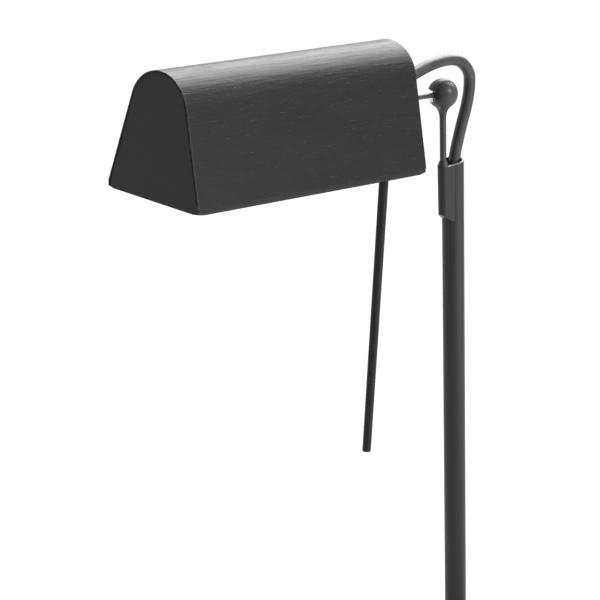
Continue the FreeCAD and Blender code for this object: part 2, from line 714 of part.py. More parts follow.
# ---- lampholder and bulb ----------------------------------------------------------------------
def holder_nipple():
    out = PLATE_FACE + NIPPLE_HEAD_T
    body = rod_x(HOLE_R, HOLDER_REAR - HOLDER_BACK, out, 0, FLEX_UP)
    body = body.fuse(rod_x(HOLE_R + NIPPLE_RIM, PLATE_FACE, out, 0, FLEX_UP))
    return tilted(body.cut(rod_x(FLEX_R + NIPPLE_EASE, HOLDER_SPLIT, 0, 0, FLEX_UP)).removeSplitter())


def nipple_nut():
    end = PLATE_INSIDE - NIPPLE_NUT_T
    return tilted(tube_x(HOLE_R + NIPPLE_NUT_RIM, HOLE_R, end, PLATE_INSIDE, 0, FLEX_UP))


def flex_bush():
    face = PLATE_FACE + NIPPLE_HEAD_T
    return tilted(tube_x(HOLE_R + BUSH_RIM, FLEX_R + LEAD_FIT, face, face + BUSH_T, 0, FLEX_UP))


def holder_cap():
    cap = rod_x(HOLDER_R, HOLDER_SPLIT, HOLDER_REAR, 0, FLEX_UP)
    back = [e for e in cap.Edges if abs(e.CenterOfMass.x - HOLDER_REAR) < 0.01]
    cap = cap.makeFillet(HOLDER_ROUND, back)
    inside = HOLDER_R - HOLDER_WALL
    cap = cap.cut(rod_x(inside, HOLDER_SPLIT - BEYOND, HOLDER_REAR - HOLDER_BACK, 0, FLEX_UP))
    cap = cap.cut(rod_x(HOLE_R, HOLDER_SPLIT, HOLDER_REAR + BEYOND, 0, FLEX_UP))
    return tilted(cap.cut(lead_holes()))


def holder_shell():
    body = tube_x(HOLDER_R, HOLDER_R - HOLDER_WALL, HOLDER_MOUTH, HOLDER_SPLIT, 0, FLEX_UP)
    inner = HOLDER_R - HOLDER_WALL / 2
    bead = tube_x(HOLDER_R + BEAD_OUT, inner, HOLDER_MOUTH, HOLDER_MOUTH + BEAD_T, 0, FLEX_UP)
    return tilted(body.fuse(bead).removeSplitter())


def holder_core():
    mouth = CORE_BACK - CORE_T
    body = rod_x(HOLDER_R - HOLDER_WALL, mouth, CORE_BACK, 0, FLEX_UP)
    body = body.cut(rod_x(THREAD_R + THREAD_WALL, mouth - BEYOND, THREAD_BACK, 0, FLEX_UP))
    return tilted(body.cut(rod_x(PIN_R, mouth - BEYOND, CORE_BACK + BEYOND, 0, FLEX_UP)))


def holder_thread():
    mouth = THREAD_BACK - THREAD_LEN
    body = rod_x(THREAD_R + THREAD_WALL, mouth, THREAD_BACK, 0, FLEX_UP)
    body = body.cut(rod_x(THREAD_R, mouth - BEYOND, THREAD_BACK - THREAD_WALL, 0, FLEX_UP))
    return tilted(body.cut(rod_x(THREAD_HOLE, mouth, THREAD_BACK + BEYOND, 0, FLEX_UP)))


def holder_contact():
    back = PIN_FACE + PIN_HEAD_T
    body = rod_x(PIN_R, back, back + PIN_LEN, 0, FLEX_UP)
    return tilted(body.fuse(rod_x(PIN_HEAD_R, PIN_FACE, back, 0, FLEX_UP)).removeSplitter())


def bulb_contact():
    return tilted(rod_x(TIP_R, CAP_BACK, PIN_FACE, 0, FLEX_UP))


def bulb_cap():
    mouth = CAP_BACK - CAP_LEN
    body = rod_x(THREAD_R - CAP_GAP, mouth, CAP_BACK, 0, FLEX_UP)
    back = [e for e in body.Edges if abs(e.CenterOfMass.x - CAP_BACK) < 0.01]
    body = body.makeChamfer(CAP_BEVEL, back)
    return tilted(body.cut(rod_x(GLASS_NECK_R, mouth - BEYOND, CAP_BACK - 2 * CAP_BEVEL, 0, FLEX_UP)))


def bulb_form(inset):
    """Tubular glass form about X; the inset form is open at the neck."""
    back = CAP_BACK - BULB_BACK
    start = back - BULB_NECK
    if inset:
        back += BEYOND
    neck = GLASS_NECK_R - inset
    r = BULB_R - inset
    c = r * math.sqrt(0.5)
    round_x = BULB_END + BULB_R
    tip = V(round_x - r, 0, 0)
    line = [V(back, 0, 0), V(back, 0, neck), V(start, 0, neck), V(start - BULB_SHOULDER, 0, r),
            V(round_x, 0, r)]
    edges = Part.makePolygon(line).Edges
    edges.append(Part.Arc(line[-1], V(round_x - c, 0, c), tip).toShape())
    edges.append(Part.LineSegment(tip, line[0]).toShape())
    form = Part.Face(Part.Wire(edges)).revolve(V(0, 0, 0), V(1, 0, 0), 360)
    form.translate(V(0, 0, FLEX_UP))
    return form


def bulb_glass():
    return tilted(bulb_form(0).cut(bulb_form(GLASS)))


# ---- pull switch ------------------------------------------------------------------------------
def pull_point(s):
    """Point on the pull's line, s above the shade's underside, in the stem frame."""
    t = math.radians(PULL_LEAN)
    return V(SHADE_IN - PULL_IN - s * math.sin(t), PULL_SIDE, SHADE_FOOT + s * math.cos(t))


def pull_axis():
    t = math.radians(PULL_LEAN)
    return V(-math.sin(t), 0, math.cos(t))


def on_pull(r, s0, s1, r1=None):
    if r1 is None:
        return Part.makeCylinder(r, s1 - s0, pull_point(s0), pull_axis())
    return Part.makeCone(r, r1, s1 - s0, pull_point(s0), pull_axis())


def switch_body():
    drum = rod_x(DRUM_R, DRUM_END, PLATE_INSIDE, 0, -DRUM_DOWN)
    body = drum.fuse(on_pull(BARREL_R, BARREL_FOOT, BARREL_TOP)).removeSplitter()
    body = body.cut(on_pull(BARREL_BORE, BARREL_FLOOR, BARREL_CEILING))
    body = body.cut(on_pull(FERRULE_R + RUN, BARREL_FOOT - BEYOND, BARREL_FLOOR + BEYOND))
    return tilted(body.cut(switch_screw_set()))


def switch_screw_set():
    side = DRUM_SCREW_SIDE
    screws = []
    for up in (-DRUM_SCREW_UP, DRUM_SCREW_UP):
        z = up - DRUM_DOWN
        shank = rod_x(DRUM_SCREW_R, PLATE_FACE - DRUM_SCREW_LEN, PLATE_FACE, side, z)
        head = rod_x(DRUM_SCREW_HEAD, PLATE_FACE, PLATE_FACE + DRUM_SCREW_HEAD_T, side, z)
        screws.append(shank.fuse(head).removeSplitter())
    return Part.makeCompound(screws)


def switch_screws():
    return tilted(switch_screw_set())


def pull():
    body = on_pull(PULL_END_R, -PULL_LEN, PULL_TOP, PULL_TOP_R)
    return tilted(body.fuse(on_pull(PULL_PIN_R, PULL_TOP, PULL_TOP + PULL_PIN_LEN)).removeSplitter())


def pull_ferrule():
    top = FLANGE_S + FLANGE_T
    body = on_pull(FERRULE_R, PULL_TOP, FLANGE_S).fuse(on_pull(BARREL_BORE - GAP, FLANGE_S, top))
    body = body.fuse(on_pull(PULL_PIN_R, top, PIN_TOP_S)).removeSplitter()
    return tilted(body.cut(on_pull(PULL_PIN_R, 0, PULL_TOP + PULL_PIN_LEN)))


def pull_spring():
    """Return spring round the ferrule, between the barrel's floor and the flange."""
    mean = (FERRULE_R + BARREL_BORE) / 2
    per_turn = 8
    steps = int(SPRING_TURNS * per_turn)
    low = BARREL_FLOOR + SPRING_WIRE + SPRING_FREE
    rise = (SPRING_LEN - 2 * SPRING_WIRE - 2 * SPRING_FREE) / steps
    points = []
    for k in range(steps + 1):
        a = 2 * math.pi * k / per_turn
        points.append(V(mean * math.cos(a), mean * math.sin(a), k * rise))
    path, _ = filleted_path(points)
    ring = Part.Wire(Part.makeCircle(SPRING_WIRE, points[0], points[1] - points[0]))
    coil = path.makePipeShell([ring], True, False)
    coil.rotate(V(0, 0, 0), V(0, 1, 0), -PULL_LEAN)
    coil.translate(pull_point(low))
    return tilted(coil)


def switch_lead(side):
    """Insulated wire from inside the lampholder to the back of the switch drum."""
    pts = [V(LEAD_X, side, FLEX_UP - HOLDER_R + LEAD_IN), V(LEAD_X, side, LEAD_ENTRY),
           V(DRUM_END, side, LEAD_ENTRY)]
    return tilted(cord("switch lead", LEAD_R, pts))


def lead_holes():
    low = FLEX_UP - HOLDER_R - BEYOND
    high = FLEX_UP - HOLDER_R + LEAD_IN
    r = LEAD_R + LEAD_HOLE
    return cyl(r, low, high, LEAD_X, LEAD_SIDE).fuse(cyl(r, low, high, LEAD_X, -LEAD_SIDE))


# ---- flex -------------------------------------------------------------------------------------
def flex_loop():
    end = HOLDER_REAR - HOLDER_BACK
    pts = [world(end, 0, FLEX_UP), world(SHADE_IN + FLEX_STRAIGHT, 0, FLEX_UP)]
    pts += [V(x, 0, BALL_Z + up) for x, up in LOOP_HIGH]
    pts += [V(x, 0, RIM_Z + up) for x, up in LOOP_LOW]
    pts += [V(0, 0, LOOP_Z), V(0, 0, LOOP_Z - LOOP_END)]
    return cord("flex_loop", FLEX_R, pts)


def pole_lead():
    """The flex goes on down the tube, lies slack in it and turns out through the gland."""
    top = LOOP_Z - LOOP_END
    pts = [V(0, 0, top), V(0, 0, top - SLACK_START)]
    for k in range(SLACK_BENDS):
        z = top - SLACK_START - SLACK_STEP * (k + 1)
        pts.append(V(SLACK_OUT * (-1) ** k, SLACK_SIDE * math.sin(2 * k + 1), z))
    end = COVER_R - GLAND_IN
    third = (end - LEAD_BEND) / 3
    middle = (GUIDE_Z + LEAD_Z + 1) / 2
    pts += [V(0, 0, GUIDE_Z), V(RUN, RUN, middle), V(0, 0, LEAD_Z + 1), V(LEAD_BEND, 0, LEAD_Z),
            V(LEAD_BEND + third, WAVE_OUT, LEAD_Z), V(end - third, -WAVE_BACK, LEAD_Z), V(end, 0, LEAD_Z)]
    return cord("pole_lead", FLEX_R, pts)


def main():
    pole = pole_tube()
    pieces = {
        "foot_pad": foot_pad(), "foot_plate": foot_plate(), "foot_screws": foot_screws(),
        "foot_weight": foot_weight(), "foot_cover": foot_cover(), "lead_gland": lead_gland(),
        "pole_nipple": pole_nipple(), "foot_washer": foot_washer(), "foot_nut": foot_nut(),
        "pole_collar": pole_collar(), "pole_tube": pole, "joint_rod": joint_rod(),
        "rod_braze": rod_braze(pole), "ball_cup": ball_cup(), "ball_cap": ball_cap(),
        "seat_lower": ball_seat(-1), "seat_upper": ball_seat(1), "seat_spring": ball_spring(),
        "swivel_ball": swivel_ball(), "shade_stem": shade_stem(), "stem_washer": stem_washer(),
        "stem_end_nut": stem_end_nut(), "stem_nut": stem_nut(), "shade_shell": shade_shell(),
        "end_plate_outer": end_plate_outer(), "end_plate_inner": end_plate_inner(),
        "holder_nipple": holder_nipple(), "nipple_nut": nipple_nut(), "flex_bush": flex_bush(),
        "holder_cap": holder_cap(), "holder_shell": holder_shell(), "holder_core": holder_core(),
        "holder_thread": holder_thread(), "holder_contact": holder_contact(),
        "bulb_contact": bulb_contact(), "bulb_cap": bulb_cap(), "bulb_glass": bulb_glass(),
        "switch_body": switch_body(), "switch_screws": switch_screws(), "pull": pull(),
        "pull_ferrule": pull_ferrule(), "pull_spring": pull_spring(),
        "switch_lead_live": switch_lead(LEAD_SIDE), "switch_lead_lamp": switch_lead(-LEAD_SIDE),
        "flex_loop": flex_loop(), "pole_lead": pole_lead()}
    for name, shape in pieces.items():
        solids = len(shape.Solids)
        print("%-16s valid %s solids %d volume %.1f" % (name, shape.isValid(), solids, shape.Volume))
        save(name, shape)


main()
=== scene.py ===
import bpy
import math
import numpy as np
from mathutils import Matrix, Vector


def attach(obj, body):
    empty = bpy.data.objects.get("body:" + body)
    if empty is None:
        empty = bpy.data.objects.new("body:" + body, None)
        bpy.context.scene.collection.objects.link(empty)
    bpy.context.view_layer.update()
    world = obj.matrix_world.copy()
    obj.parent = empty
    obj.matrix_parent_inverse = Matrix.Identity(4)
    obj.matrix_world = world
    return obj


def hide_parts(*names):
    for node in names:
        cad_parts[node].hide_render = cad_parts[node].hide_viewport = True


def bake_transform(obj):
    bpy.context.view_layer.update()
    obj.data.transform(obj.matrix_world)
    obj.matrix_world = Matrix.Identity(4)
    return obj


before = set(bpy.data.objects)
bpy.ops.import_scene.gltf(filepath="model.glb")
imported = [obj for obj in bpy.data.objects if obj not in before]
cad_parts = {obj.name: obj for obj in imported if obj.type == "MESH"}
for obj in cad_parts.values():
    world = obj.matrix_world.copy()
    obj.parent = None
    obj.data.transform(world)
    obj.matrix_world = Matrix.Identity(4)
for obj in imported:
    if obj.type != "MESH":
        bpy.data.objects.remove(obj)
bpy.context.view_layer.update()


# ---- camera -----------------------------------------------------------------------------------
# A long lens a little above the shade, turned to its outer front corner and rolled slightly. It
# looks at a point under the middle of the shade, and the tube runs out of its view.
CAMERA_AZIMUTH = math.radians(-45.295)
CAMERA_HEIGHT = math.radians(22.636)
CAMERA_ROLL = math.radians(-1.617)
CAMERA_TARGET = Vector((-0.12828, 0.0, 0.31958))
CAMERA_DISTANCE = 1.61479
CAMERA_LENS = 175.056
CAMERA_SENSOR = 36.0


def make_camera():
    """A camera off its target by azimuth and height. Its other axes are the level one square to
    that way and the one square to both, turned together by the roll."""
    back = Vector((math.sin(CAMERA_AZIMUTH) * math.cos(CAMERA_HEIGHT),
                   -math.cos(CAMERA_AZIMUTH) * math.cos(CAMERA_HEIGHT),
                   math.sin(CAMERA_HEIGHT)))
    right = Vector((math.cos(CAMERA_AZIMUTH), math.sin(CAMERA_AZIMUTH), 0.0))
    up = back.cross(right)
    across = right * math.cos(CAMERA_ROLL) + up * math.sin(CAMERA_ROLL)
    upward = up * math.cos(CAMERA_ROLL) - right * math.sin(CAMERA_ROLL)
    data = bpy.data.cameras.new("camera")
    data.sensor_width = CAMERA_SENSOR
    data.lens = CAMERA_LENS
    camera = bpy.data.objects.new("camera", data)
    turn = Matrix((across, upward, back)).transposed().to_4x4()
    camera.matrix_world = Matrix.Translation(CAMERA_TARGET + back * CAMERA_DISTANCE) @ turn
    bpy.context.collection.objects.link(camera)
    bpy.context.scene.camera = camera


make_camera()


# ---- flex -------------------------------------------------------------------------------------
# Round rubber-sheathed flex out of the tube's mouth, over the ball and into the shade. It is made
# as three lengths: stand to seats, seats to inner ball, ball to shade. The lead inside the tube is
# the same flex.
FLEX_R = 0.0034
FLEX_ROUTE = [(0.0, 0, 0.3532), (0.0, 0, 0.3642), (0.0072, 0, 0.3847), (0.0125, 0, 0.3964),
              (0.0152, 0, 0.4074), (0.0147, 0, 0.4170), (0.0045, 0, 0.4267), (-0.0140, 0, 0.4290),
              (-0.0325, 0, 0.4267), (-0.046840, 0, 0.423524), (-0.065634, 0, 0.426316)]
FLEX_RESOLUTION = 24
FLEX_STEP = 0.0006
FLEX_SIDES = 40
FLEX_FIRST_CUT = 0.36
FLEX_SECOND_CUT = 0.68


def link(obj):
    bpy.context.collection.objects.link(obj)
    return obj


def nurbs_line(name, places, resolution):
    """Points along one smooth NURBS line over the places, each span a curve of degree two, read
    from a curve object with no bevel."""
    curve = bpy.data.curves.new(name, "CURVE")
    curve.dimensions = "3D"
    curve.resolution_u = resolution
    spline = curve.splines.new("NURBS")
    spline.points.add(len(places) - 1)
    for point, place in zip(spline.points, places):
        point.co = (*place, 1.0)
    spline.order_u = 3
    spline.use_endpoint_u = True
    holder = link(bpy.data.objects.new(name, curve))
    mesh = bpy.data.meshes.new_from_object(holder)
    line = np.empty(3 * len(mesh.vertices), np.float32)
    mesh.vertices.foreach_get("co", line)
    bpy.data.objects.remove(holder)
    bpy.data.meshes.remove(mesh)
    return line.reshape(-1, 3).astype(float)


def even(line, step):
    """The same line with points a step apart."""
    along = np.concatenate([[0.0], np.cumsum(np.linalg.norm(np.diff(line, axis=0), axis=1))])
    at = np.linspace(0.0, along[-1], max(2, int(round(along[-1] / step)) + 1))
    return np.stack([np.interp(at, along, line[:, k]) for k in range(3)], axis=1)


def ring_mesh(name, points):
    """A mesh over a grid of points, rings x points on a ring x 3: four-cornered faces between each
    ring and the next, with the last point of a ring joined to its first."""
    rings, sides = points.shape[:2]
    low = np.arange(rings - 1)[:, None] * sides
    a = low + np.arange(sides)
    b = low + (np.arange(sides) + 1) % sides
    faces = np.stack([a, b, b + sides, a + sides], axis=-1).reshape(-1, 4)
    mesh = bpy.data.meshes.new(name)
    mesh.from_pydata(points.reshape(-1, 3).tolist(), [], faces.tolist())
    mesh.shade_smooth()
    return link(bpy.data.objects.new(name, mesh))


def flex_rings(line):
    """Rings round a line in the plane y = 0: the place on the line, plus the flex's radius times
    the cosine of the turn along Y and its sine along the line's own normal."""
    ahead = np.gradient(line, axis=0)
    ahead /= np.linalg.norm(ahead, axis=1)[:, None]
    side = np.array([0.0, 1.0, 0.0])
    normal = np.cross(ahead, side)
    turn = np.linspace(0, 2 * math.pi, FLEX_SIDES, endpoint=False)[None, :, None]
    return line[:, None] + FLEX_R * (np.cos(turn) * side + np.sin(turn) * normal[:, None])


def grey(v):
    return (v, v, v)


def new_material(name, colour, rough, metallic=0.0, specular=0.5):
    mat = bpy.data.materials.new(name)
    mat.use_nodes = True
    shader = mat.node_tree.nodes["Principled BSDF"]
    shader.inputs["Base Color"].default_value = (*colour, 1.0)
    shader.inputs["Roughness"].default_value = rough
    shader.inputs["Metallic"].default_value = metallic
    shader.inputs["Specular IOR Level"].default_value = specular
    return mat, mat.node_tree, shader


def placed(tree, unit=(1, 1, 1), turn=0.0, origin=(0, 0, 0)):
    """Object coordinates from an origin, turned about Y, counted in a unit for each axis."""
    coord = tree.nodes.new("ShaderNodeTexCoord")
    mapping = tree.nodes.new("ShaderNodeMapping")
    mapping.vector_type = "TEXTURE"
    mapping.inputs["Location"].default_value = origin
    mapping.inputs["Rotation"].default_value = (0, turn, 0)
    mapping.inputs["Scale"].default_value = unit
    tree.links.new(coord.outputs["Object"], mapping.inputs["Vector"])
    return mapping.outputs["Vector"]


def noise(tree, grain, detail, rough=0.5, turn=0.0):
    """Noise of a grain in metres, one length or one for each axis, with the axes turned about Y."""
    node = tree.nodes.new("ShaderNodeTexNoise")
    node.inputs["Scale"].default_value = 1.0
    node.inputs["Detail"].default_value = detail
    node.inputs["Roughness"].default_value = rough
    unit = grain if isinstance(grain, tuple) else (grain, grain, grain)
    tree.links.new(placed(tree, unit, turn), node.inputs["Vector"])
    return node.outputs["Fac"]


def ramp(tree, source, stops):
    """Colour stops along a value from 0 to 1."""
    node = tree.nodes.new("ShaderNodeValToRGB")
    while len(node.color_ramp.elements) < len(stops):
        node.color_ramp.elements.new(0.5)
    for element, (place, colour) in zip(node.color_ramp.elements, stops):
        element.position = place
        element.color = (*colour, 1.0)
    tree.links.new(source, node.inputs["Fac"])
    return node.outputs["Color"]


def spread(tree, source, low, high):
    """From a low to a high colour over the middle of a noise."""
    return ramp(tree, source, [(0.3, low), (0.7, high)])


def between(tree, fac, a, b):
    """Mix of two colour sockets."""
    node = tree.nodes.new("ShaderNodeMix")
    node.data_type = "RGBA"
    tree.links.new(fac, node.inputs["Factor"])
    tree.links.new(a, node.inputs["A"])
    tree.links.new(b, node.inputs["B"])
    return node.outputs["Result"]


def coat(tree, shader, tone, gloss):
    """Colour and roughness that vary over the surface."""
    tree.links.new(tone, shader.inputs["Base Color"])
    tree.links.new(gloss, shader.inputs["Roughness"])


def bump(tree, shader, source, strength, distance=0.0001):
    """Relief on the shader, as high as the distance where the strength is 1."""
    node = tree.nodes.new("ShaderNodeBump")
    node.inputs["Strength"].default_value = strength
    node.inputs["Distance"].default_value = distance
    tree.links.new(source, node.inputs["Height"])
    tree.links.new(node.outputs["Normal"], shader.inputs["Normal"])


def assign(mat, *names):
    for name in names:
        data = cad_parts[name].data
        data.materials.clear()
        data.materials.append(mat)


def flex_material():
    """Smooth dark rubber with a soft gloss, faint rubbed patches and a fine grain."""
    mat, tree, shader = new_material("flex_rubber", grey(0.022), rough=0.36, specular=0.45)
    fine = noise(tree, 0.0006, detail=3.0)
    patch = noise(tree, 0.006, detail=4.0)
    tone = spread(tree, patch, grey(0.015), grey(0.032))
    gloss = spread(tree, patch, grey(0.30), grey(0.42))
    coat(tree, shader, tone, gloss)
    bump(tree, shader, fine, strength=0.08)
    return mat


def flex(mat):
    """Three lengths of one tube. Their shading normals point straight out from the line, so that
    no joint between two lengths shows."""
    line = even(nurbs_line("flex_line", FLEX_ROUTE, FLEX_RESOLUTION), FLEX_STEP)
    rings = flex_rings(line)
    first = int(len(line) * FLEX_FIRST_CUT)
    second = int(len(line) * FLEX_SECOND_CUT)
    cuts = [0, first, second, len(line) - 1]
    for k in range(3):
        span = slice(cuts[k], cuts[k + 1] + 1)
        part = line[span]
        piece = ring_mesh("flex_%d" % (k + 1), rings[span])
        piece.data.materials.append(mat)
        outward = (rings[span] - part[:, None]).reshape(-1, 3) / FLEX_R
        piece.data.normals_split_custom_set_from_vertices(outward.tolist())
        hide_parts("flex_loop")
        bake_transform(piece)


flex_rubber = flex_material()
flex(flex_rubber)
assign(flex_rubber, "pole_lead")


# ---- shade ------------------------------------------------------------------------------------
# Folded sheet steel with a pressed plate pushed into each end. The enamel is nearly black and was
# rubbed down lengthways, which left short faint dashes; a near-black bead along each end joint is
# painted shade for the shadow in the joint, and a rubber lip closes the inner plate round the flex.
TILT = math.radians(8.45)
BALL = (-0.0083, 0.0, 0.4087)

# The shade's own sizes run along the stem, across it and up from the ball.
SHADE_OUT = -0.2243
SHADE_IN = -0.0483
SHADE_FOOT = -0.0332
SHADE_HALF = 0.034
SHADE_H = 0.069
SHADE_ROUND = 0.021
LIP_H = 0.0032

# Pale flecks in from the outer end: worn enamel, with a painted highlight where the edge catches
# light. Up from the foot, a painted line of shade with a painted highlight above it.
END_WEAR_AND_GLINT = 0.0013
FOOT_HIGHLIGHT_LINE = 0.0010
FOOT_SHADE_LINE = 0.0006

# The dark bead, painted shade for the shadow in the end joints: it sinks between two places across
# the shade, where it gets thinner too.
SEAM_R = 0.00065
SEAM_SEAT = 0.0003
SEAM_SINK = 0.0006
SEAM_SINK_SPAN = [0.004, 0.022]
SEAM_SINK_IN = 0.7
SEAM_THIN = 0.3
SEAM_WANDER = 0.00010
SEAM_SEED = 7
SEAM_SMOOTH = 4
SEAM_STEP = 0.0008
SEAM_STOP = 4
SEAM_TAPER = 4
SEAM_TIP = 0.02
SEAM_SIDES = 12
OUTER_INSET = 0.0006
INNER_INSET = 0.0009
SEAM_SHADE_GREY_Y = 0.012
ROUND_STEPS = 40

FLEX_UP = 0.009
GROMMET_OUT = 0.0055
GROMMET_T = 0.0016
GROMMET_ARC = 16
GROMMET_SIDES = 48


def from_stem(points):
    """Points given along the stem, across it and up, turned and moved to the rest pose."""
    x, y, z = points[..., 0], points[..., 1], points[..., 2]
    return np.stack([BALL[0] + x * math.cos(TILT) + z * math.sin(TILT), y,
                     BALL[2] - x * math.sin(TILT) + z * math.cos(TILT)], axis=-1)


def distance(tree, axis, turn=0.0, origin=(0, 0, 0)):
    """How far a point lies from an origin along one axis, with the axes turned about Y."""
    split = tree.nodes.new("ShaderNodeSeparateXYZ")
    tree.links.new(placed(tree, turn=turn, origin=origin), split.inputs["Vector"])
    return split.outputs[axis]


def compare(tree, source, edge, soft):
    """0 below the edge and 1 above it, over a soft width."""
    node = tree.nodes.new("ShaderNodeMapRange")
    node.inputs["From Min"].default_value = edge - soft
    node.inputs["From Max"].default_value = edge + soft
    tree.links.new(source, node.inputs["Value"])
    return node.outputs["Result"]


def rubbed_enamel():
    """Rubbed enamel: short raised dashes, painted darker and lighter as the shade and light of their
    relief; pale flecks by the outer end, worn enamel with a painted highlight of the edge; the lip
    painted darker as shade, and along the foot a painted dark line of shade with a painted highlight
    above it."""
    mat, tree, shader = new_material("shade_enamel", grey(0.006), rough=0.42, specular=0.20)
    blotch = noise(tree, (0.05, 0.012, 0.012), detail=3.0, turn=TILT)
    streak = noise(tree, (0.020, 0.0011, 0.0011), detail=3.0, rough=0.6, turn=TILT)
    dash = noise(tree, (0.0055, 0.00060, 0.00060), detail=1.0, turn=TILT)
    fleck = noise(tree, (0.0012, 0.0009, 0.0009), detail=2.0, turn=TILT)
    mark = ramp(tree, dash, [(0.0, grey(0.0)), (0.68, grey(0.0)), (0.78, grey(1.0))])

    plain = spread(tree, blotch, grey(0.004), grey(0.007))
    # Within the dashes the tone is painted shade and light of their relief.
    dash_tone_with_shade = ramp(tree, streak, [(0.44, grey(0.001)), (0.56, grey(0.009))])
    tone = between(tree, mark, plain, dash_tone_with_shade)

    from_end = distance(tree, "X", TILT, BALL)
    inward = compare(tree, from_end, SHADE_OUT + END_WEAR_AND_GLINT, soft=0.0005)
    # Worn flecks with a painted highlight, where the outer edge catches light.
    wear_and_glint_flecks = ramp(tree, fleck, [(0.56, grey(0.017)), (0.64, grey(0.040))])
    tone = between(tree, inward, wear_and_glint_flecks, tone)

    height = distance(tree, "Z", TILT, BALL)
    above_lip = compare(tree, height, SHADE_FOOT + LIP_H, soft=0.0004)
    above_highlight_line = compare(tree, height, SHADE_FOOT + FOOT_HIGHLIGHT_LINE, soft=0.0002)
    above_shade_line = compare(tree, height, SHADE_FOOT + FOOT_SHADE_LINE, soft=0.0001)
    # The lip is painted darker, as shade against the light its upright face catches; along the foot,
    # a painted highlight line and under it a painted shade line.
    tone = between(tree, above_lip, spread(tree, blotch, grey(0.003), grey(0.006)), tone)
    tone = between(tree, above_highlight_line, spread(tree, streak, grey(0.014), grey(0.030)), tone)
    tone = between(tree, above_shade_line, spread(tree, streak, grey(0.001), grey(0.004)), tone)

    plain_gloss = ramp(tree, streak, [(0.32, grey(0.37)), (0.5, grey(0.42)), (0.68, grey(0.48))])
    rubbed_gloss = spread(tree, blotch, grey(0.5), grey(0.6))
    gloss = between(tree, mark, plain_gloss, rubbed_gloss)

    plain_relief = ramp(tree, streak, [(0.0, grey(0.2)), (1.0, grey(1.0))])
    rubbed_relief = ramp(tree, streak, [(0.0, grey(0.0)), (1.0, grey(0.4))])
    relief = between(tree, mark, plain_relief, rubbed_relief)

    coat(tree, shader, tone, gloss)
    bump(tree, shader, relief, strength=1.0, distance=0.00022)
    return mat


def plate_enamel():
    """The same enamel on the pressed plates, smoother: soft clouds and a very fine grain."""
    mat, tree, shader = new_material("plate_enamel", grey(0.010), rough=0.45, specular=0.26)
    cloud = noise(tree, (0.02, 0.016, 0.016), detail=4.0, turn=TILT)
    fine = noise(tree, 0.0009, detail=2.0, turn=TILT)
    tone = spread(tree, cloud, grey(0.008), grey(0.012))
    gloss = spread(tree, cloud, grey(0.42), grey(0.50))
    coat(tree, shader, tone, gloss)
    bump(tree, shader, fine, strength=0.04)
    return mat


def section_line(inset):
    """Across the shade from one foot over the top to the other: straight lip, flat side tangent to
    the round top, and the same mirrored. Returns y and z at even steps."""
    centre = SHADE_FOOT + SHADE_H - SHADE_ROUND
    rise = SHADE_FOOT + LIP_H - centre
    lean = math.atan2(rise, SHADE_HALF) + math.acos(SHADE_ROUND / math.hypot(SHADE_HALF, rise))
    r = SHADE_ROUND - inset
    side = SHADE_HALF - inset
    knee = (r - side * math.cos(lean)) / math.sin(lean) + centre
    turn = np.linspace(lean, math.pi / 2, ROUND_STEPS)
    top = np.column_stack([r * np.cos(turn), centre + r * np.sin(turn)])
    half = np.concatenate([[(side, SHADE_FOOT), (side, knee)], top])
    whole = np.concatenate([half, (half * [-1, 1])[::-1][1:]])
    flat = even(np.column_stack([np.zeros(len(whole)), whole]), SEAM_STEP)
    return flat[:, 1], flat[:, 2]


def end_seam(name, x, into, inset, mat):
    """Bead of painted shade along the joint of an end plate: round each point of the section's line,
    a ring whose radius wanders a little, sinks into the joint on the +Y side and runs out at both
    feet.
    Into is the way along the stem into the shade, 1 or -1."""
    y, z = section_line(inset)
    y, z = y[SEAM_STOP:-SEAM_STOP], z[SEAM_STOP:-SEAM_STOP]
    wander = np.random.default_rng(SEAM_SEED).normal(size=len(y))
    wander = np.convolve(wander, np.ones(SEAM_SMOOTH) / SEAM_SMOOTH, mode="same")
    ends = np.minimum(np.arange(len(y)), np.arange(len(y))[::-1]) / SEAM_TAPER
    sunk = np.interp(y, SEAM_SINK_SPAN, [0.0, SEAM_SINK])
    radius = (SEAM_R - SEAM_THIN * sunk + SEAM_WANDER * wander) * np.clip(ends, SEAM_TIP, 1.0)
    across = np.gradient(y)
    up = np.gradient(z)
    length = np.hypot(across, up)
    turn = np.linspace(0, 2 * math.pi, SEAM_SIDES, endpoint=False)
    out = radius[:, None] * np.cos(turn) + sunk[:, None]
    inward = SEAM_SEAT + SEAM_SINK_IN * sunk[:, None]
    points = np.stack([x + into * inward + radius[:, None] * np.sin(turn),
                       y[:, None] + out * (-up / length)[:, None],
                       z[:, None] + out * (across / length)[:, None]], axis=-1)
    seam = ring_mesh(name, from_stem(points))
    seam.data.materials.append(mat)
    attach(seam, "shade")


def painted_seam_shade():
    """Near-black paint for the bead, painted shade for the joint's shadow, with tiny pale chips;
    greyer on the +Y side, where less of that shade is painted.
    """
    mat, tree, shader = new_material("seam_shade_paint", grey(0.003), rough=0.48, specular=0.15)
    chip = noise(tree, 0.0007, detail=2.0)
    far_side = compare(tree, distance(tree, "Y"), SEAM_SHADE_GREY_Y, soft=0.008)
    chipped = ramp(tree, chip, [(0.62, grey(0.002)), (0.72, grey(0.10))])
    lighter_seam_shade = spread(tree, chip, grey(0.022), grey(0.036))
    tree.links.new(between(tree, far_side, chipped, lighter_seam_shade), shader.inputs["Base Color"])
    bump(tree, shader, chip, strength=0.3, distance=0.0002)
    return mat


def grommet_rubber():
    """Soft rubber with cloudy wear."""
    mat, tree, shader = new_material("grommet_rubber", grey(0.05), rough=0.45)
    cloud = noise(tree, 0.002, detail=3.0)
    tone = spread(tree, cloud, grey(0.02), grey(0.05))
    tree.links.new(tone, shader.inputs["Base Color"])
    bump(tree, shader, cloud, strength=0.1)
    return mat


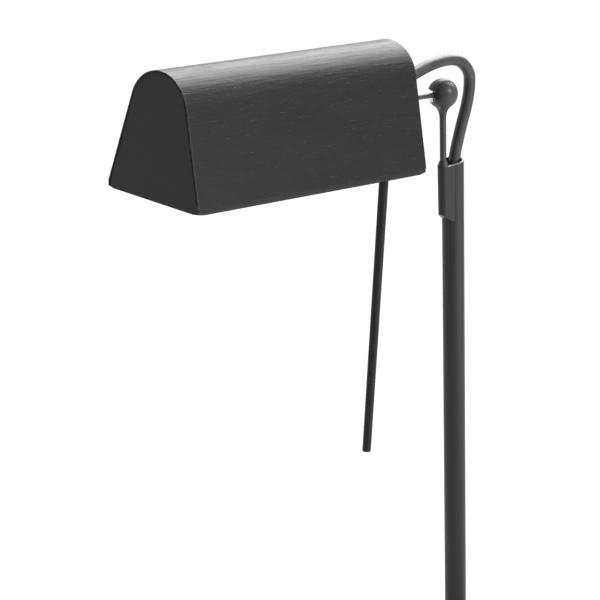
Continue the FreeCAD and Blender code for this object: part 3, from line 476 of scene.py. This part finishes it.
def flex_grommet(mat):
    """Lip of the bush round the flex on the inner plate: half a ring, with its section an ellipse
    from the flex out to the plate, turned about the flex."""
    turn = np.linspace(0, 2 * math.pi, GROMMET_SIDES, endpoint=False)
    arc = np.linspace(0, math.pi, GROMMET_ARC)
    radius = (GROMMET_OUT + FLEX_R) / 2 - (GROMMET_OUT - FLEX_R) / 2 * np.cos(arc)
    along = SHADE_IN + GROMMET_T * np.sin(arc)
    out = radius[:, None] * np.cos(turn)
    points = np.stack([np.broadcast_to(along[:, None], out.shape), out,
                       FLEX_UP + radius[:, None] * np.sin(turn)], axis=-1)
    lip = ring_mesh("flex_grommet", from_stem(points))
    lip.data.materials.append(mat)
    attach(lip, "shade")


assign(rubbed_enamel(), "shade_shell")
assign(plate_enamel(), "end_plate_outer", "end_plate_inner")
# A near-black bead at each end joint: painted shade, standing in for the joint's shadow.
seam_shade_paint = painted_seam_shade()
end_seam("seam_outer", SHADE_OUT, 1, OUTER_INSET, seam_shade_paint)
end_seam("seam_inner", SHADE_IN, -1, INNER_INSET, seam_shade_paint)
flex_grommet(grommet_rubber())


# ---- ball swivel ------------------------------------------------------------------------------
# Turned ball in two halves, enamelled, on the end of the rod. Inside it two dished steel seats,
# pressed by a spring ring, hold the bright inner ball that the stem goes through. A blued washer
# and nut clamp the stem in it.
BALL_SKIN = 0.00855


def patched(name, low, high, rough, grain, pit=0.06):
    """Plain enamel, rubber, iron or greased steel: tone and gloss vary in patches fourteen times
    as wide as the fine grain, and the grain is pitted."""
    mat, tree, shader = new_material(name, grey(low), rough, specular=0.35)
    patch = noise(tree, 14 * grain, detail=4.0)
    fine = noise(tree, grain, detail=3.0)
    tone = spread(tree, patch, grey(low), grey(high))
    gloss = spread(tree, patch, grey(rough - 0.02), grey(rough + 0.03))
    coat(tree, shader, tone, gloss)
    bump(tree, shader, fine, strength=pit)
    return mat


def ball_enamel():
    """Enamel outside; the milled slot and the bore inside the ball are bare steel, painted dark as
    shade in the slot.
    """
    mat, tree, shader = new_material("ball_enamel", grey(0.022), rough=0.36, specular=0.34)
    patch = noise(tree, 0.006, detail=4.0)
    fine = noise(tree, 0.0006, detail=3.0)
    from_centre = tree.nodes.new("ShaderNodeVectorMath")
    from_centre.operation = "LENGTH"
    tree.links.new(placed(tree, origin=BALL), from_centre.inputs[0])
    outside = compare(tree, from_centre.outputs["Value"], BALL_SKIN, soft=0.0001)
    # Inside the ball the tone is painted shade for the slot.
    bare = spread(tree, fine, grey(0.03), grey(0.06))
    enamelled = spread(tree, patch, grey(0.026), grey(0.038))
    tone = between(tree, outside, bare, enamelled)
    gloss = spread(tree, patch, grey(0.33), grey(0.40))
    coat(tree, shader, tone, gloss)
    bump(tree, shader, fine, strength=0.06)
    return mat


def turned_metal(name, colour, rough, grain=0.0008):
    """Turned or plated metal: gloss in fine rings, and tone in patches eight times as wide as the
    grain, down to three quarters of the colour."""
    mat, tree, shader = new_material(name, colour, rough, metallic=1.0)
    patch = noise(tree, 8 * grain, detail=4.0)
    fine = noise(tree, (4 * grain, 4 * grain, 0.5 * grain), detail=3.0)
    dark = tuple(0.75 * c for c in colour)
    tone = spread(tree, patch, dark, colour)
    gloss = spread(tree, fine, grey(rough - 0.06), grey(rough + 0.08))
    coat(tree, shader, tone, gloss)
    bump(tree, shader, fine, strength=0.05)
    return mat


bright_steel = turned_metal("bright_steel", grey(0.62), rough=0.18)
blued_steel = turned_metal("blued_steel", grey(0.09), rough=0.40)
# The seats are painted paler than greased steel: painted light that lifts the shade inside the
# ball's slot.
seat_steel_lightened = patched("seat_steel_lightened", 0.30, 0.46, rough=0.42, grain=0.0008)
assign(ball_enamel(), "ball_cup", "ball_cap")
assign(seat_steel_lightened, "seat_lower", "seat_upper")
assign(bright_steel, "swivel_ball", "seat_spring")
assign(blued_steel, "stem_end_nut", "stem_washer")


# ---- stem and rod -----------------------------------------------------------------------------
# Two thin steel rods, enamelled: the rod stands brazed in the tube's head and carries the ball,
# the stem goes from the inner ball through the shade's end plate, where a nut holds it.
zinc = turned_metal("zinc", (0.55, 0.56, 0.58), rough=0.32)
rod_enamel = patched("rod_enamel", 0.018, 0.040, rough=0.30, grain=0.0006)
braze_enamel = patched("braze_enamel", 0.020, 0.060, rough=0.28, grain=0.0011, pit=0.5)
assign(rod_enamel, "joint_rod", "shade_stem")
assign(braze_enamel, "rod_braze")
assign(zinc, "stem_nut")


# ---- tube -------------------------------------------------------------------------------------
# Steel tube, drawn out to a narrow nose at its head, enamelled inside and out. The enamel is worn
# bare round the mouth, which slants down towards the nose, and that edge is painted bright as a
# highlight, except over the nose.
RIM_Z = 0.3662
RIM_FALL = 0.12
RIM_WORN = 0.0002
NOSE_X = -0.0083


def tube_enamel():
    """Enamel with faint lengthwise drawing marks; the mouth's edge is bare, and painted bright as a
    highlight except over the nose."""
    mat, tree, shader = new_material("tube_enamel", grey(0.012), rough=0.36, specular=0.28)
    patch = noise(tree, (0.006, 0.006, 0.03), detail=4.0)
    fine = noise(tree, (0.0005, 0.0005, 0.006), detail=3.0)
    enamelled = spread(tree, patch, grey(0.011), grey(0.018))
    # Worn bare edge, painted pale as a highlight.
    bare = spread(tree, fine, grey(0.10), grey(0.5))
    above = distance(tree, "Z", -math.atan(RIM_FALL), (0, 0, RIM_Z))
    on_rim = compare(tree, above, -RIM_WORN, soft=0.00012)
    off_nose = compare(tree, distance(tree, "X"), NOSE_X, soft=0.0006)
    worn_rim_glint = between(tree, on_rim, enamelled, bare)
    tone = between(tree, off_nose, enamelled, worn_rim_glint)
    gloss = spread(tree, patch, grey(0.31), grey(0.40))
    coat(tree, shader, tone, gloss)
    bump(tree, shader, fine, strength=0.05)
    return mat


assign(tube_enamel(), "pole_tube")


# ---- foot -------------------------------------------------------------------------------------
# Spun steel cover over an iron weight, closed by a plate with three screws and a felt pad. A
# threaded nipple and a nut hold the tube on it; the lead comes in through a rubber gland.
def felt():
    """Dense dark green felt, all short tangled fibres."""
    mat, tree, shader = new_material("felt", (0.010, 0.024, 0.018), rough=0.95, specular=0.1)
    fibre = noise(tree, 0.0005, detail=6.0, rough=0.7)
    tone = spread(tree, fibre, (0.006, 0.014, 0.010), (0.018, 0.042, 0.030))
    tree.links.new(tone, shader.inputs["Base Color"])
    shader.inputs["Sheen Weight"].default_value = 0.3
    bump(tree, shader, fibre, strength=0.6, distance=0.0004)
    return mat


rubber = patched("rubber", 0.010, 0.022, rough=0.60, grain=0.0006, pit=0.2)
foot_enamel = patched("foot_enamel", 0.010, 0.014, rough=0.34, grain=0.0012, pit=0.04)
cast_iron = patched("cast_iron", 0.030, 0.080, rough=0.70, grain=0.0020, pit=0.8)
assign(foot_enamel, "foot_cover", "pole_collar")
assign(cast_iron, "foot_weight")
assign(zinc, "foot_plate", "foot_screws", "pole_nipple", "foot_washer", "foot_nut")
assign(rubber, "lead_gland")
assign(felt(), "foot_pad")


# ---- lampholder and bulb ----------------------------------------------------------------------
# Moulded dark brown holder on the blued nipple that the flex comes through, with a glazed ceramic
# core, a brass thread sleeve and contact, and a long opal bulb.
def moulded(name, low, high, rough):
    """Moulded or fired piece: cloudy tone, nearly even gloss and a faint orange peel."""
    mat, tree, shader = new_material(name, low, rough)
    cloud = noise(tree, 0.009, detail=5.0)
    peel = noise(tree, 0.0015, detail=2.0)
    tone = spread(tree, cloud, low, high)
    gloss = spread(tree, cloud, grey(rough), grey(rough + 0.08))
    coat(tree, shader, tone, gloss)
    bump(tree, shader, peel, strength=0.04)
    return mat


def opal_glass():
    """Milky glass that lets a little light through its wall."""
    mat = moulded("opal_glass", (0.86, 0.85, 0.81), (0.93, 0.92, 0.89), rough=0.12)
    shader = mat.node_tree.nodes["Principled BSDF"]
    shader.inputs["Subsurface Weight"].default_value = 0.3
    shader.inputs["Subsurface Radius"].default_value = (0.004, 0.004, 0.004)
    return mat


bakelite = moulded("bakelite", (0.012, 0.008, 0.006), (0.035, 0.020, 0.013), rough=0.22)
ceramic = moulded("ceramic", (0.78, 0.75, 0.68), (0.86, 0.84, 0.78), rough=0.15)
brass = turned_metal("brass", (0.56, 0.40, 0.15), rough=0.26)
assign(bakelite, "flex_bush", "holder_cap", "holder_shell")
assign(ceramic, "holder_core")
assign(blued_steel, "holder_nipple")
assign(zinc, "nipple_nut")
assign(brass, "holder_thread", "holder_contact", "bulb_contact", "bulb_cap")
assign(opal_glass(), "bulb_glass")


# ---- pull switch ------------------------------------------------------------------------------
# Satin black rod hanging from a switch drum that two blued screws hold at the shade's inner end. A
# brass ferrule with a return spring holds it in the drum's barrel; two insulated wires go to the
# lampholder.
PULL_LEAN = math.radians(1.97)
PULL_INWARD = 0.007
PULL_X = SHADE_IN - PULL_INWARD
PULL_SIDE = -0.0095

# The spring's lowest and highest ring, up the pull's line, and the helix of its wire.
COIL_LOW = 0.00185
COIL_HIGH = 0.01315
COIL_R = 0.003325
COIL_WIRE = 0.0003
COIL_TURNS = 5.5
COIL_RINGS = 200
COIL_SIDES = 10
COIL_TIP = 0.02


def from_pull(out, side, rise):
    """Points given out from the pull's line along the stem, sideways and up the line, leant with
    the pull and moved to the rest pose."""
    return from_stem(np.stack([PULL_X + out * math.cos(PULL_LEAN) - rise * math.sin(PULL_LEAN),
                               PULL_SIDE + side,
                               SHADE_FOOT + out * math.sin(PULL_LEAN) + rise * math.cos(PULL_LEAN)],
                              axis=-1))


def pull_spring():
    """Helix tube: on each point of a helix round the pull's line, a ring of the wire's radius in
    the plane of the line and the outward way. The end rings close to a point."""
    turn = np.linspace(0, 2 * math.pi * COIL_TURNS, COIL_RINGS)[:, None]
    ring = np.linspace(0, 2 * math.pi, COIL_SIDES, endpoint=False)
    wire = np.full((COIL_RINGS, 1), COIL_WIRE)
    wire[[0, -1]] = COIL_WIRE * COIL_TIP
    out = COIL_R + wire * np.cos(ring)
    rise = COIL_LOW + (COIL_HIGH - COIL_LOW) * turn / turn[-1] - wire * np.sin(ring)
    coil = ring_mesh("pull_coil", from_pull(out * np.cos(turn), out * np.sin(turn), rise))
    coil.data.materials.append(bright_steel)
    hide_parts("pull_spring")
    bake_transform(coil)


def pull_plastic():
    """Satin plastic, nearly black, with sparse tiny pale specks of dust."""
    mat, tree, shader = new_material("pull_plastic", grey(0.006), rough=0.48, specular=0.22)
    speck = noise(tree, 0.0009, detail=1.0)
    patch = noise(tree, 0.008, detail=4.0)
    dust = ramp(tree, speck, [(0.70, grey(0.0)), (0.76, grey(1.0))])
    clean = spread(tree, patch, grey(0.004), grey(0.009))
    dusty = spread(tree, patch, grey(0.03), grey(0.09))
    tree.links.new(between(tree, dust, clean, dusty), shader.inputs["Base Color"])
    bump(tree, shader, speck, strength=0.1)
    return mat


pull_spring()
assign(pull_plastic(), "pull")
assign(bakelite, "switch_body")
assign(blued_steel, "switch_screws")
assign(brass, "pull_ferrule")
assign(rubber, "switch_lead_live", "switch_lead_lamp")


# ---- surroundings -----------------------------------------------------------------------------
# White floor and white room as the camera, metal and glass see them, at a plain level for the
# rest. A wide window light comes from behind on the right, with a second one that shows in gloss
# only, and two weak square lights stand at the front.
FLOOR_REACH = 6.0
FLOOR_GLOW = 0.35
ROOM_REST = 0.4
ROOM_SEEN = 1.0
WINDOW_WAY = (0.73, 0.27, 0.61)
FRONT_WAY = (0.26, -0.85, 0.46)
LOW_WAY = (0.20, -0.90, -0.36)


def seen_level(tree, rest, seen):
    """One level for the camera's, reflected and refracted rays, another for the rest."""
    path = tree.nodes.new("ShaderNodeLightPath")
    first = tree.nodes.new("ShaderNodeMath")
    first.operation = "MAXIMUM"
    tree.links.new(path.outputs["Is Camera Ray"], first.inputs[0])
    tree.links.new(path.outputs["Is Glossy Ray"], first.inputs[1])
    second = tree.nodes.new("ShaderNodeMath")
    second.operation = "MAXIMUM"
    tree.links.new(first.outputs[0], second.inputs[0])
    tree.links.new(path.outputs["Is Transmission Ray"], second.inputs[1])
    level = tree.nodes.new("ShaderNodeMapRange")
    level.inputs["To Min"].default_value = rest
    level.inputs["To Max"].default_value = seen
    tree.links.new(second.outputs[0], level.inputs["Value"])
    return level.outputs["Result"]


def floor():
    """A level square under the foot."""
    corners = FLOOR_REACH * np.array([(-1, -1, 0), (1, -1, 0), (1, 1, 0), (-1, 1, 0)])
    mesh = bpy.data.meshes.new("floor")
    mesh.from_pydata(corners.tolist(), [], [(0, 1, 2, 3)])
    mat, tree, shader = new_material("floor", grey(0.8), rough=0.9, specular=0.0)
    shader.inputs["Emission Color"].default_value = (1, 1, 1, 1)
    tree.links.new(seen_level(tree, 0.0, FLOOR_GLOW), shader.inputs["Emission Strength"])
    mesh.materials.append(mat)
    link(bpy.data.objects.new("floor", mesh))


def room():
    world = bpy.data.worlds.new("room")
    world.use_nodes = True
    tree = world.node_tree
    wall = tree.nodes["Background"]
    wall.inputs["Color"].default_value = (1, 1, 1, 1)
    tree.links.new(seen_level(tree, ROOM_REST, ROOM_SEEN), wall.inputs["Strength"])
    bpy.context.scene.world = world
    bpy.context.scene.view_settings.view_transform = "Standard"


def new_lamp(name, kind, way):
    """A lamp of one kind that shines from the given way."""
    lamp = link(bpy.data.objects.new(name, bpy.data.lights.new(name, kind)))
    lamp.rotation_mode = "QUATERNION"
    lamp.rotation_quaternion = way.to_track_quat("Z", "Y")
    return lamp


def wide_light(name, way, degrees, strength, gloss_only=False):
    """Far soft light from one direction, so many degrees wide. Where it is for gloss only, it leaves
    the plain level of light as it is."""
    lamp = new_lamp(name, "SUN", Vector(way))
    lamp.data.angle = math.radians(degrees)
    lamp.data.energy = strength
    lamp.visible_diffuse = not gloss_only


def soft_light(name, way, away, size, power):
    """A square light that stands off the ball in one direction and faces it."""
    way = Vector(way).normalized()
    lamp = new_lamp(name, "AREA", way)
    lamp.data.size = size
    lamp.data.energy = power
    lamp.location = Vector(BALL) + way * away


floor()
room()
wide_light("window", WINDOW_WAY, degrees=56.0, strength=2.0)
wide_light("window_glint", WINDOW_WAY, degrees=60.0, strength=4.6, gloss_only=True)
soft_light("front", FRONT_WAY, away=1.2, size=0.24, power=8.5)
soft_light("low", LOW_WAY, away=0.6, size=0.50, power=1.3)
